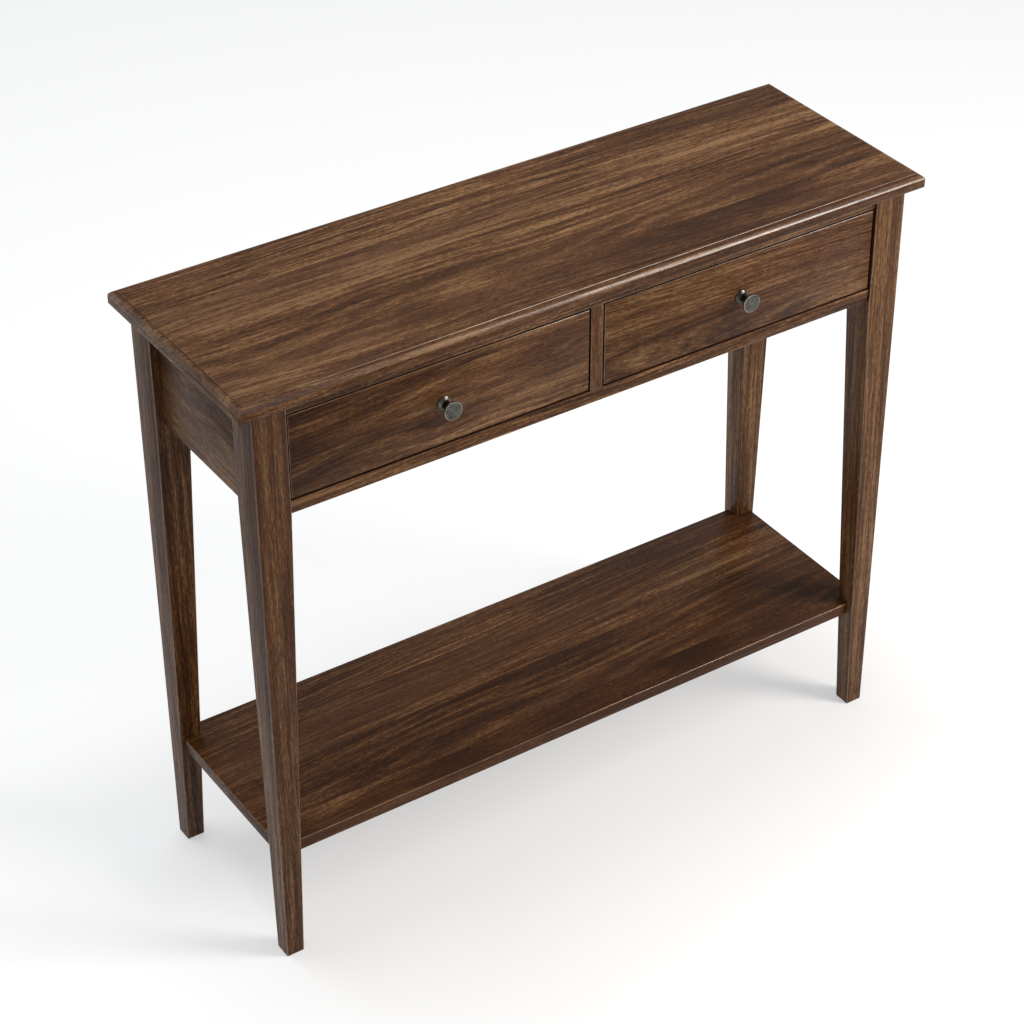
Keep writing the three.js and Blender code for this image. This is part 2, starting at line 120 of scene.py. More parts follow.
def choose_edges(piece, wanted):
    mesh = bmesh.from_edit_mesh(piece.data)
    for edge in mesh.edges:
        edge.select_set(bool(wanted(*[corner.co for corner in edge.verts])))
    mesh.select_flush_mode()
    bmesh.update_edit_mesh(piece.data)


def ease(radius, steps=2, slot=1, fullness=0.5):
    """Rounds the chosen edges, or planes them flat with one step. A fullness of a half is a
    quarter circle and less is flatter. The new faces take the finish in that slot."""
    bpy.ops.mesh.bevel(
        offset=radius, segments=steps, profile=fullness, material=slot, clamp_overlap=True
    )


def widest_ease(piece):
    """The widest flat of the eased edges in millimetres. A bevel that would run into
    another edge is shrunk without a word, and this number shows it."""
    corners = piece.data.vertices
    widths = [
        face.area / max((corners[a].co - corners[b].co).length for a, b in face.edge_keys)
        for face in piece.data.polygons
        if face.material_index == 1
    ]
    return round(1000 * max(widths, default=0.0), 2)


def sawn_board(name, low, high):
    """A squared-up board between two corners, with its place in its mesh."""
    let_go()
    low, high = Vector(low), Vector(high)
    bpy.ops.mesh.primitive_cube_add(size=1, location=(low + high) / 2, scale=high - low)
    board = bpy.context.object
    board.name = name
    bpy.ops.object.transform_apply(location=True, rotation=True, scale=True)
    give_empty_slots(board)
    return board


def give_slot(piece, slot, wanted):
    """Gives that finish slot to the faces that are wanted."""
    for face in piece.data.polygons:
        if wanted(face.center, face.normal):
            face.material_index = slot


def finish_piece(piece, body, replaced, finishes):
    """Sets the piece's finishes, shades it and hands it to the frame."""
    pick(piece)
    bpy.ops.object.shade_smooth_by_angle(angle=radians(40))
    while len(piece.data.materials) > len(finishes):
        piece.data.materials.pop()
    for place, finish in enumerate(finishes):
        piece.data.materials[place] = finish
    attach(piece, body)
    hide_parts(*replaced)
    eased = sum(face.material_index == 1 for face in piece.data.polygons)
    print(piece.name, "has", len(piece.data.polygons), "faces,", eased, "on eased edges,",
          "the widest", widest_ease(piece), "mm")
    return piece


# %% [markdown]
# ## Small helpers for shader nodes
# A procedural wood has a few dozen nodes. These helpers add one node, set its inputs, and link
# any input that is given another node's output, so that a material reads from top to bottom.

# %% Helpers for nodes
def add_node(tree, kind, inputs, **settings):
    made = tree.nodes.new(kind)
    for key, value in settings.items():
        setattr(made, key, value)
    for key, value in inputs.items():
        if isinstance(value, bpy.types.NodeSocket):
            tree.links.new(value, made.inputs[key])
        else:
            made.inputs[key].default_value = value
    return made


def sums(tree, operation, first, second=0.0):
    made = add_node(tree, "ShaderNodeMath", {0: first, 1: second}, operation=operation)
    return made.outputs[0]


def stretched(tree, vector, scale, shift=(0, 0, 0)):
    made = add_node(
        tree, "ShaderNodeMapping", {"Vector": vector, "Scale": scale, "Location": shift}
    )
    return made.outputs["Vector"]


def noise(tree, vector, scale=1.0, detail=2.0, rough=0.5, sides="3D"):
    made = add_node(
        tree,
        "ShaderNodeTexNoise",
        {"Vector": vector, "Scale": scale, "Detail": detail, "Roughness": rough},
        noise_dimensions=sides,
    )
    return made


def spread(tree, value, low, high, to_low=0.0, to_high=1.0):
    made = add_node(
        tree,
        "ShaderNodeMapRange",
        {"Value": value, "From Min": low, "From Max": high, "To Min": to_low, "To Max": to_high},
    )
    return made.outputs["Result"]


def ramp(tree, value, stops):
    made = add_node(tree, "ShaderNodeValToRGB", {"Fac": value})
    colours = made.color_ramp.elements
    while len(colours) < len(stops):
        colours.new(0.5)
    for element, (place, colour) in zip(colours, stops):
        element.position = place
        element.color = (*colour, 1)
    return made.outputs["Color"]


def mixed(tree, share, first, second):
    made = add_node(
        tree, "ShaderNodeMix", {"Factor": share, "A": first, "B": second}, data_type="RGBA"
    )
    return made.outputs["Result"]


def linear(red, green, blue):
    """A colour as seen on a screen, 0 to 255, as the light values that shaders use."""
    return tuple(((v / 255 + 0.055) / 1.055) ** 2.4 for v in (red, green, blue))


def new_finish(name):
    finish = bpy.data.materials.new(name)
    finish.use_nodes = True
    tree = finish.node_tree
    tree.nodes.clear()
    shader = tree.nodes.new("ShaderNodeBsdfPrincipled")
    out = tree.nodes.new("ShaderNodeOutputMaterial")
    tree.links.new(shader.outputs["BSDF"], out.inputs["Surface"])
    return finish, tree, shader


# %% [markdown]
# ## Walnut
# A board is a slice through a tree. Its figure is where the slice meets the growth rings, so the
# walnut here is solid: we measure how far each point is from a pith line that runs nearly along
# the board, a little tilted, and read the ring colours from that distance. A tilted pith gives
# the arched "cathedral" figure of a flat-sawn drawer front, and straight stripes on a leg. Slow
# noise bends the fibres, fine noise adds the streaks, and short dark dashes are walnut's pores.
# Each leg and each drawer front is given its own tone: lighter for the front right leg and the
# right drawer front, darker for the front left and back left legs and the left drawer front. The
# moulding and the arrises are rubbed smoother than the flats, which is why they shine. Their
# finishes are also set a lighter tone than the flats, which is a painted highlight along the
# edges, and the faces inside the gaps round the drawers get a near-black walnut, which is painted
# shade.

# %% The walnut finish
TURN_GRAIN = {"x": (0, 0, 0), "y": (0, 0, radians(-90)), "z": (0, radians(90), 0)}
HEART = linear(39, 21, 9)
DEEP = linear(66, 40, 20)
MIDDLE = linear(88, 59, 35)
LIGHT = linear(125, 95, 64)
PURPLE = linear(65, 40, 26)


def walnut(name, grain, pith, tilt=(0.03, 0.02), tone=0.0, stave=0.0, bend=0.012, run=1.0,
           speck=1.0, gloss=0.4, sheen=0.09, islands=(), red=0.0, relief=0.25):
    """Satin walnut. grain is the axis the fibres follow and pith the heart's place beside it.
    Each island (along, across, half length, half width, height) is a spot where rings close up.
    A larger run makes every streak shorter, and relief is how deep the grain is felt."""
    finish, tree, shader = new_finish(name)
    here = add_node(tree, "ShaderNodeTexCoord", {}).outputs["Object"]
    lay = add_node(
        tree, "ShaderNodeMapping", {"Vector": here, "Rotation": TURN_GRAIN[grain]}
    ).outputs["Vector"]
    tilted = add_node(
        tree,
        "ShaderNodeMapping",
        {"Vector": lay, "Rotation": (0, tilt[0], tilt[1]), "Location": (0, *pith)},
    ).outputs["Vector"]
    chance = None
    if stave:
        across = add_node(tree, "ShaderNodeSeparateXYZ", {"Vector": lay}).outputs["Y"]
        count = sums(tree, "FLOOR", sums(tree, "DIVIDE", across, stave))
        chance = add_node(tree, "ShaderNodeTexWhiteNoise", {"W": count}, noise_dimensions="1D")
        moved = add_node(
            tree,
            "ShaderNodeVectorMath",
            {0: chance.outputs["Color"], 1: (3.0, 0.16, 0.05)},
            operation="MULTIPLY",
        ).outputs["Vector"]
        tilted = add_node(
            tree, "ShaderNodeVectorMath", {0: tilted, 1: moved}, operation="ADD"
        ).outputs["Vector"]
    bent = tilted
    for along_rate, across_rate, amount in ((2.4, 9, bend), (9, 34, bend * 0.22)):
        slow = noise(
            tree, stretched(tree, tilted, (along_rate * run, across_rate, across_rate)), detail=1.0
        )
        push = add_node(
            tree, "ShaderNodeVectorMath", {0: slow.outputs["Color"], 1: (amount * 2,) * 3},
            operation="MULTIPLY",
        ).outputs["Vector"]
        bent = add_node(
            tree, "ShaderNodeVectorMath", {0: bent, 1: push}, operation="ADD"
        ).outputs["Vector"]
    flat = stretched(tree, bent, (0, 1, 1))
    reach = add_node(tree, "ShaderNodeVectorMath", {0: flat}, operation="LENGTH").outputs["Value"]
    for along_at, across_at, half_long, half_wide, height in islands:
        spot = add_node(
            tree,
            "ShaderNodeMapping",
            {"Vector": lay, "Scale": (1 / half_long, 0, 1 / half_wide),
             "Location": (-along_at / half_long, 0, -across_at / half_wide)},
        ).outputs["Vector"]
        away = add_node(tree, "ShaderNodeVectorMath", {0: spot}, operation="LENGTH")
        away = away.outputs["Value"]
        swell = add_node(
            tree,
            "ShaderNodeMapRange",
            {"Value": away, "From Min": 0.0, "From Max": 1.0, "To Min": height, "To Max": 0.0},
            interpolation_type="SMOOTHERSTEP",
        ).outputs["Result"]
        reach = sums(tree, "ADD", reach, swell)
    along = add_node(tree, "ShaderNodeSeparateXYZ", {"Vector": tilted}).outputs["X"]
    ring_place = add_node(tree, "ShaderNodeCombineXYZ", {"X": along, "Y": reach}).outputs["Vector"]
    layers = [
        (noise(tree, stretched(tree, ring_place, (along_rate * run, across_rate, 1)), detail=1.0,
               sides="2D"), share)
        for along_rate, across_rate, share in ((1.7, 30, 0.7), (3.2, 95, 0.6), (6, 270, 0.8))
    ]
    layers += [
        (noise(tree, stretched(tree, bent, (13 * run, 430, 430)), detail=1.0, rough=0.8), 0.8),
        (noise(tree, stretched(tree, bent, (120 * run, 800, 800)), detail=1.0, rough=0.9),
         1.1 * speck),
    ]
    value = tone + 0.5 - 0.5 * sum(share for layer, share in layers)
    for layer, share in layers:
        step = add_node(
            tree, "ShaderNodeMath", {0: layer.outputs["Fac"], 1: share, 2: value},
            operation="MULTIPLY_ADD",
        )
        value = step.outputs[0]
    if stave:
        value = sums(
            tree, "ADD", value, spread(tree, chance.outputs["Value"], 0.0, 1.0, -0.06, 0.06)
        )
    colour = ramp(tree, value, [(0.1, HEART), (0.36, DEEP), (0.6, MIDDLE), (0.9, LIGHT)])
    cast = noise(tree, stretched(tree, tilted, (1.1, 13, 13), (4, 1, 2)), detail=1.0)
    share = spread(tree, cast.outputs["Fac"], 0.45, 0.72, red, red + 0.45)
    colour = mixed(tree, share, colour, (*PURPLE, 1))
    dashes = noise(tree, stretched(tree, lay, (60, 1150, 1150)), detail=1.0, rough=0.4)
    pores = spread(tree, dashes.outputs["Fac"], 0.6, 0.7)
    dark_pores = sums(tree, "MULTIPLY", pores, 0.6)
    colour = mixed(tree, dark_pores, colour, (*HEART, 1))
    tree.links.new(colour, shader.inputs["Base Color"])
    shader.inputs["Specular IOR Level"].default_value = sheen
    dull = spread(tree, layers[3][0].outputs["Fac"], 0.3, 0.7, gloss + 0.07, gloss - 0.05)
    dull = sums(tree, "ADD", dull, sums(tree, "MULTIPLY", pores, 0.2))
    tree.links.new(dull, shader.inputs["Roughness"])
    ridges = sums(tree, "MULTIPLY", layers[4][0].outputs["Fac"], 0.5)
    height = sums(tree, "SUBTRACT", ridges, pores)
    bump = add_node(
        tree, "ShaderNodeBump", {"Height": height, "Strength": relief, "Distance": 0.0002}
    ).outputs["Normal"]
    tree.links.new(bump, shader.inputs["Normal"])
    return finish


# The arris and nose finishes below are glossier than the flats, and their tone is set lighter too,
# which is a painted highlight along the edges.
POLISHED = {"gloss": 0.2, "sheen": 0.55, "relief": 0.06}
top_walnut = walnut("top_walnut", "x", (0.02, -0.80), tilt=(0.02, 0.015), stave=0.0815, tone=0.03)
top_nose_polish_and_painted_highlight = walnut("top_nose_walnut", "x", (0.02, -0.80), tilt=(0.02, 0.015), tone=0.06, **POLISHED)
shelf_walnut = walnut("shelf_walnut", "x", (0.05, -0.12), tilt=(0.015, -0.02), stave=0.093,
                      tone=-0.12, red=0.1, gloss=0.32)
rail_walnut = walnut("rail_walnut", "x", (0.2, -0.62), tilt=(0.01, 0.01))
rail_arris_polish_and_painted_highlight = walnut("rail_arris_walnut", "x", (0.2, -0.62), tone=0.08, **POLISHED)
side_walnut = walnut("side_walnut", "y", (0.3, -0.72), tilt=(0.02, 0.03))
stile_walnut = walnut("stile_walnut", "z", (0.5, 0.04), tilt=(0.012, 0.01), bend=0.008, run=0.8)
leg_walnuts = {
    place: walnut(f"leg_{place}_walnut", "z", (heart, 0.04), tilt=(0.012, 0.01), tone=tone,
                  bend=0.008, run=0.8)
    for place, heart, tone in (("front_left", 0.5, -0.06), ("front_right", 0.56, 0.08),
                               ("back_left", 0.6, -0.14), ("back_right", 0.67, 0.0))
}
leg_arris_polish_and_painted_highlight = walnut("leg_arris_walnut", "z", (0.5, 0.04), tone=0.08, bend=0.008, **POLISHED)
left_figure = walnut("left_front_walnut", "x", (0.07, -0.79), tilt=(0.02, 0.02), speck=0.8,
                     tone=-0.08,
                     islands=((-0.33, 0.735, 0.13, 0.035, 0.006),))
right_figure = walnut("right_front_walnut", "x", (0.08, -0.74), tilt=(-0.05, 0.08), speck=0.8,
                      tone=0.1)
# The drawer fronts' planed arrises are set much lighter, a painted highlight for the bright line
# below the gap.
front_arris_polish_and_painted_highlight = walnut("front_arris_walnut", "x", (0.09, -0.76), tone=0.34, gloss=0.24, sheen=0.4,
                     relief=0.06)
# A near-black walnut for the faces inside the gaps round the drawers, which is painted shade.
painted_gap_shade_walnut = walnut("painted_gap_shade_walnut", "x", (0.09, -0.70), tone=-0.45, gloss=0.6, sheen=0.05)
print("walnut finishes", len([m for m in bpy.data.materials if "walnut" in m.name]))

# %% [markdown]
# ## The wood inside
# The parts that only show when a drawer is open are a plain pale hardwood, and the drawer
# bottoms are thin birch plywood in a paler finish of the same kind, without its plies drawn.

# %% Pale hardwood, plywood and metal finishes
def pale_wood(name, grain, light, dark):
    """A plain, lightly sealed hardwood with faint growth lines and flecks."""
    finish, tree, shader = new_finish(name)
    here = add_node(tree, "ShaderNodeTexCoord", {}).outputs["Object"]
    lay = add_node(
        tree, "ShaderNodeMapping", {"Vector": here, "Rotation": TURN_GRAIN[grain]}
    ).outputs["Vector"]
    slow = noise(tree, stretched(tree, lay, (2, 30, 30)), detail=3.0)
    lines = noise(tree, stretched(tree, lay, (6, 320, 320)), detail=3.0, rough=0.6)
    flecks = noise(tree, stretched(tree, lay, (120, 1400, 1400)), detail=1.0)
    value = sums(tree, "ADD", sums(tree, "MULTIPLY", slow.outputs["Fac"], 0.6),
                 sums(tree, "MULTIPLY", lines.outputs["Fac"], 0.5))
    colour = ramp(tree, value, [(0.3, dark), (0.75, light)])
    speck = spread(tree, flecks.outputs["Fac"], 0.6, 0.72, 0.0, 0.35)
    colour = mixed(tree, speck, colour, (*dark, 1))
    tree.links.new(colour, shader.inputs["Base Color"])
    dull = spread(tree, lines.outputs["Fac"], 0.3, 0.7, 0.62, 0.5)
    tree.links.new(dull, shader.inputs["Roughness"])
    bump = add_node(
        tree,
        "ShaderNodeBump",
        {"Height": lines.outputs["Fac"], "Strength": 0.2, "Distance": 0.0002},
    ).outputs["Normal"]
    tree.links.new(bump, shader.inputs["Normal"])
    return finish


def metal(name, light, dark, rough, wear):
    """Metal with fine polishing marks and darker tarnish in patches."""
    finish, tree, shader = new_finish(name)
    here = add_node(tree, "ShaderNodeTexCoord", {}).outputs["Object"]
    tarnish = noise(tree, here, scale=160.0, detail=4.0, rough=0.6)
    marks = noise(tree, stretched(tree, here, (2600, 500, 2600)), detail=2.0)
    colour = ramp(tree, tarnish.outputs["Fac"], [(0.35, dark), (0.68, light)])
    tree.links.new(colour, shader.inputs["Base Color"])
    shader.inputs["Metallic"].default_value = 1.0
    shine = spread(tree, tarnish.outputs["Fac"], 0.3, 0.7, rough + wear, rough - wear)
    tree.links.new(shine, shader.inputs["Roughness"])
    bump = add_node(
        tree,
        "ShaderNodeBump",
        {"Height": marks.outputs["Fac"], "Strength": 0.12, "Distance": 0.0001},
    ).outputs["Normal"]
    tree.links.new(bump, shader.inputs["Normal"])
    return finish


maple_y = pale_wood("maple_front_to_back", "y", linear(205, 172, 126), linear(172, 134, 90))
maple_x = pale_wood("maple_along", "x", linear(205, 172, 126), linear(172, 134, 90))
birch_ply = pale_wood("birch_plywood", "x", linear(214, 186, 142), linear(187, 152, 106))
pewter = metal("antique_pewter", linear(94, 93, 88), linear(60, 59, 55), 0.22, 0.06)
# A much lighter pewter for the knob's rim: a painted highlight.
painted_rim_highlight_pewter = metal("painted_rim_highlight_pewter", linear(158, 156, 150), linear(112, 110, 105), 0.2, 0.04)
zinc = metal("zinc_plate", linear(176, 176, 172), linear(140, 140, 138), 0.36, 0.06)
print("inner finishes made")

# %% [markdown]
# ## The top
# The top is one thick board with a moulding worked along all four edges: a raised field, a small
# step down with a fine quirk at its foot, a band that falls gently outwards, and a rounded nose.
# We start from a squared board as high as the band's outer edge. Insetting its upper face makes
# the band, pushing the inner face up gives the band its fall, and extruding makes the step.

# %% Model the top
STEP_INSET = 0.0095
STEP_HEIGHT = 0.0012
BAND_FALL = 0.001
NOSE_RADIUS = 0.0046
QUIRK = 0.0005
FIELD_FLAT = 0.0007
UNDERSIDE_ROUND = 0.0008
CORNER_ROUND = 0.0012


def work_top():
    low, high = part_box("table_top")
    band_edge = high.z - STEP_HEIGHT - BAND_FALL
    board = sawn_board("top_board", low, (high.x, high.y, band_edge))
    edit(board, "FACE")
    choose_faces(board, lambda centre, normal: normal.z > 0.9)
    bpy.ops.mesh.inset(thickness=STEP_INSET - QUIRK, depth=0)
    bpy.ops.transform.translate(value=(0, 0, BAND_FALL))
    bpy.ops.mesh.inset(thickness=QUIRK * 0.7, depth=0)
    bpy.ops.transform.translate(value=(0, 0, -QUIRK))
    bpy.ops.mesh.inset(thickness=QUIRK * 0.3, depth=0)
    bpy.ops.mesh.extrude_region_move(
        TRANSFORM_OT_translate={"value": (0, 0, STEP_HEIGHT + QUIRK)}
    )
    edit(board, "EDGE")
    choose_edges(board, lambda a, b: min(a.z, b.z) > high.z - TINY)
    ease(FIELD_FLAT, 1)
    edit(board, "EDGE")
    choose_edges(board, lambda a, b: max(abs(a.z - band_edge), abs(b.z - band_edge)) < TINY)
    ease(NOSE_RADIUS, 8, fullness=0.38)
    edit(board, "EDGE")
    choose_edges(board, lambda a, b: max(a.z, b.z) < low.z + TINY)
    ease(UNDERSIDE_ROUND, 2)
    edit(board, "EDGE")
    choose_edges(
        board,
        lambda a, b: abs(a.z - b.z) > TINY
        and min(abs(a.x), abs(b.x)) > high.x - NOSE_RADIUS - TINY
        and abs(abs(a.x) - high.x - abs(a.y - (low.y + high.y) / 2) + (high.y - low.y) / 2) < TINY,
    )
    ease(CORNER_ROUND, 3, 0)
    leave_edit()
    return board


top_board = work_top()
finish_piece(top_board, "frame", ["table_top"], [top_walnut, top_nose_polish_and_painted_highlight])

# %% [markdown]
# ## The legs
# A leg is square beside the aprons and tapers below them on its two inner faces only, so the
# outer corner stays upright. We make the square part, extrude its lower end down to the floor,
# and scale that end about the outer corner. One leg is modelled and the others are mirror copies.

# %% Model one leg and mirror it
FOOT_SHARE = 25 / 46
LEG_ROUND = 0.0013
FOOT_ROUND = 0.002
apron_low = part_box("apron_left")[0].z


def shape_leg():
    low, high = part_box("leg_front_left")
    leg = sawn_board("leg_front_left_shaped", (low.x, low.y, apron_low), high)
    edit(leg, "FACE")
    choose_faces(leg, lambda centre, normal: normal.z < -0.9)
    bpy.ops.mesh.extrude_region_move(TRANSFORM_OT_translate={"value": (0, 0, -apron_low)})
    bpy.ops.transform.resize(
        value=(FOOT_SHARE, FOOT_SHARE, 1), center_override=(low.x, low.y, 0)
    )
    edit(leg, "EDGE")
    choose_edges(leg, lambda a, b: abs(a.z - b.z) > 0.1)
    ease(LEG_ROUND, 3)
    edit(leg, "EDGE")
    choose_edges(leg, lambda a, b: max(a.z, b.z) < TINY)
    ease(FOOT_ROUND, 2)
    bpy.ops.mesh.select_all(action="SELECT")
    bpy.ops.mesh.remove_doubles(threshold=WELD)
    leave_edit()
    return leg


def mirrored_copy(piece, name, flip_x, flip_y):
    """A copy with its own mesh, turned over about the table's middle planes."""
    pick(piece)
    bpy.ops.object.duplicate(linked=False)
    twin = bpy.context.object
    twin.name = name
    middle = (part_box("table_top")[0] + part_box("table_top")[1]) / 2
    bpy.ops.object.mode_set(mode="EDIT")
    bpy.ops.mesh.select_all(action="SELECT")
    bpy.ops.transform.resize(
        value=(-1 if flip_x else 1, -1 if flip_y else 1, 1), center_override=middle
    )
    bpy.ops.mesh.remove_doubles(threshold=WELD)
    bpy.ops.mesh.normals_make_consistent(inside=False)
    leave_edit()
    return twin


first_leg = shape_leg()
legs = [(first_leg, "front_left")]
for place, flip_x, flip_y in (
    ("front_right", True, False),
    ("back_left", False, True),
    ("back_right", True, True),
):
    twin = mirrored_copy(first_leg, f"leg_{place}_shaped", flip_x, flip_y)
    legs.append((twin, place))
for leg, place in legs:
    # The legs' faces that look towards the middle above the aprons take the near-black walnut:
    # painted shade.
    give_slot(
        leg,
        2,
        lambda centre, normal: centre.z > apron_low and normal.x * centre.x < -0.4,
    )
    finish_piece(
        leg, "frame", [f"leg_{place}"], [leg_walnuts[place], leg_arris_polish_and_painted_highlight, painted_gap_shade_walnut]
    )

# %% [markdown]
# ## Aprons, rails and stile
# These are straight boards between the legs. Their tenons are hidden in the legs, so only the
# length between the legs is modelled. Real boards never have a knife-sharp edge: every arris
# gets a small round, which is what catches the light.

# %% Board the frame
leg_inner_x = -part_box("leg_front_left")[1].x
leg_front_inner_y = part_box("leg_front_left")[1].y
leg_back_inner_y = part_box("leg_back_left")[0].y
JOINT = 0.0001
BOARD_ROUND = 0.0008


def eased_board(name, node, low, high, finishes, painted_shade_faces=lambda centre, normal: False):
    board = sawn_board(name, low, high)
    edit(board, "EDGE")
    choose_edges(board, lambda a, b: True)
    ease(BOARD_ROUND, 2)
    leave_edit()
    # The faces picked by the last argument take the near-black walnut in slot 2: painted shade in
    # the gaps.
    give_slot(board, 2, painted_shade_faces)
    return finish_piece(board, "frame", [node], [*finishes, painted_gap_shade_walnut])


for word in ("left", "right"):
    low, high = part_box(f"apron_{word}")
    low.y, high.y = leg_front_inner_y + JOINT, leg_back_inner_y - JOINT
    eased_board(f"apron_{word}_board", f"apron_{word}", low, high, [side_walnut, rail_arris_polish_and_painted_highlight])

low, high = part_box("apron_back")
low.x, high.x = -leg_inner_x + JOINT, leg_inner_x - JOINT
eased_board("apron_back_board", "apron_back", low, high, [rail_walnut, rail_arris_polish_and_painted_highlight])

for place in ("top", "bottom"):
    low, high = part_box(f"rail_{place}")
    low.x, high.x = -leg_inner_x + JOINT, leg_inner_x - JOINT
    toward = -1 if place == "top" else 1
    # The rails' faces towards the drawer openings are painted shade.
    eased_board(
        f"rail_{place}_board", f"rail_{place}", low, high, [rail_walnut, rail_arris_polish_and_painted_highlight],
        lambda centre, normal: normal.z * toward > 0.9,
    )

rail_gap_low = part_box("rail_bottom")[1].z + JOINT
rail_gap_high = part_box("rail_top")[0].z - JOINT
low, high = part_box("centre_stile")
low.z, high.z = rail_gap_low, rail_gap_high
# The stile's two sides, beside the drawers, are painted shade.
eased_board(
    "centre_stile_board", "centre_stile", low, high, [stile_walnut, leg_arris_polish_and_painted_highlight],
    lambda centre, normal: abs(normal.x) > 0.9,
)

# %% [markdown]
# ## The shelf
# The shelf is one wide board, notched at its corners to fit round the legs. By hand: lay a flat
# plane, cut it across four times where the notches end, delete the four corner pieces, and
# extrude what is left down to the board's thickness. The long edges are eased a little more.

# %% Model the shelf
SHELF_ROUND = 0.0011


def cut_shelf():
    low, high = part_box("shelf")
    dowel_low, dowel_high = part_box("shelf_dowel_front_left")
    notch_x = -(dowel_low.x + dowel_high.x) / 2
    middle_y = (low.y + high.y) / 2
    dowel_y = (dowel_low.y + dowel_high.y) / 2
    notch_half_y = 2 * (middle_y - dowel_y) - (high.y - low.y) / 2
    let_go()
    bpy.ops.mesh.primitive_plane_add(size=1, location=(0, middle_y, high.z))
    board = bpy.context.object
    board.name = "shelf_board"
    give_empty_slots(board, 2)
    bpy.ops.transform.resize(value=(high.x - low.x, high.y - low.y, 1))
    bpy.ops.object.transform_apply(location=True, rotation=True, scale=True)
    edit(board, "FACE")
    for point, normal in (
        ((-notch_x, 0, 0), (1, 0, 0)),
        ((notch_x, 0, 0), (1, 0, 0)),
        ((0, middle_y - notch_half_y, 0), (0, 1, 0)),
        ((0, middle_y + notch_half_y, 0), (0, 1, 0)),
    ):
        bpy.ops.mesh.select_all(action="SELECT")
        bpy.ops.mesh.bisect(plane_co=point, plane_no=normal)
    choose_faces(
        board,
        lambda centre, normal: abs(centre.x) > notch_x and abs(centre.y - middle_y) > notch_half_y,
    )
    bpy.ops.mesh.delete(type="FACE")
    bpy.ops.mesh.select_all(action="SELECT")
    bpy.ops.mesh.dissolve_limited(angle_limit=radians(1))
    bpy.ops.mesh.select_all(action="SELECT")
    bpy.ops.mesh.extrude_region_move(
        TRANSFORM_OT_translate={"value": (0, 0, low.z - high.z)}
    )
    bpy.ops.mesh.select_all(action="SELECT")
    bpy.ops.mesh.normals_make_consistent(inside=False)
    edit(board, "EDGE")
    choose_edges(board, lambda a, b: True)
    ease(SHELF_ROUND, 3)
    leave_edit()
    print("shelf notches end at", round(notch_x, 4), round(notch_half_y, 4))
    return board


shelf_board = cut_shelf()
finish_piece(shelf_board, "frame", ["shelf"], [shelf_walnut, rail_arris_polish_and_painted_highlight])

# %% [markdown]
# ## Drawer fronts
# The fronts have dovetail sockets in their ends, which show when a drawer is open. The model
# already has them, so we copy its mesh and weld the loose triangles back into clean faces. Only
# the arrises of the show face are planed off, at a slant. A bevel would be shrunk here by the
# edges that run to the bolt's hole, so we inset the show face and push its old outline back.
# The original node is left alone and hidden.

# %% Plane the arrises of the drawer fronts
FRONT_CHAMFER = 0.0009


def drawer_front(word, figure):
    node = f"drawer_{word}_front"
    front = frame["nodes"][node].copy()
    front.data = front.data.copy()
    front.name = f"drawer_{word}_show_front"
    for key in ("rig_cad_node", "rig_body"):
        if key in front:
            del front[key]
    front.parent = None
    give_empty_slots(front)
    bpy.context.scene.collection.objects.link(front)
    face_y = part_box(node)[0].y
    edit(front, "VERT")
    bpy.ops.mesh.select_all(action="SELECT")
    bpy.ops.mesh.remove_doubles(threshold=WELD)
    bpy.ops.mesh.dissolve_limited(angle_limit=radians(1))
    low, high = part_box(node)
    edit(front, "FACE")
    choose_faces(front, lambda centre, normal: normal.y < -0.99 and centre.y < face_y + TINY)
    bpy.ops.mesh.inset(thickness=FRONT_CHAMFER, depth=0)

    def on_outline(corner):
        ends = min(corner.x - low.x, high.x - corner.x)
        edges = min(corner.z - low.z, high.z - corner.z)
        return corner.y < face_y + TINY and min(ends, edges) < TINY

    edit(front, "EDGE")
    choose_edges(front, lambda a, b: on_outline(a) and on_outline(b))
    bpy.ops.transform.translate(value=(0, FRONT_CHAMFER, 0))
    leave_edit()
    # The faces behind the show face take the near-black walnut, painted shade in the gaps, and the
    # planed arrises the lighter arris walnut, a painted highlight.
    give_slot(front, 2, lambda centre, normal: centre.y > face_y + FRONT_CHAMFER)
    give_slot(
        front, 1, lambda centre, normal: centre.y < face_y + FRONT_CHAMFER and normal.y > -0.9
    )
    finish_piece(
        front, f"{word}_drawer", [node], [figure, front_arris_polish_and_painted_highlight, painted_gap_shade_walnut]
    )


for word, figure in (("left", left_figure), ("right", right_figure)):
    drawer_front(word, figure)

# %% [markdown]
# ## The knobs
# A knob is turned: a flange against the drawer, a waisted neck, and a flat round head with a
# soft rim and a slightly domed face. We draw half of its outline as a chain of points in edit
# mode and spin it once round its axis. The outline's corners are already rounded in its points.
# The rim has a much lighter pewter than the rest of the knob, a painted highlight for the light
# its rounded edge catches.

# %% Spin a knob
KNOB_STEPS = 64
FLANGE_SHARE = 0.72
RIM_SHARE = 0.93


def knob_outline(reach, flange, head):
    """Half outline of a knob as (distance from its axis, distance from the drawer)."""
    neck = flange * 0.56
    rim = reach - 0.0042
    return [
        (0.0, 0.0001),
        (flange, 0.0001),
        (flange, 0.0013),
        (flange * 0.93, 0.0019),
        (flange * 0.74, 0.0024),
        (neck, 0.0042),
        (neck * 0.97, 0.0075),
        (neck * 1.06, 0.0115),
        (neck * 1.45, 0.0152),
        (head * 0.78, rim - 0.0002),
        (head * 0.95, rim + 0.0004),
        (head, rim + 0.0014),
        (head, rim + 0.0022),
        (head * 0.97, rim + 0.0030),
        (head * 0.91, rim + 0.0033),
        (head * 0.86, rim + 0.0031),
        (head * 0.7, rim + 0.0036),
        (head * 0.4, rim + 0.0040),
        (0.0, reach),
    ]


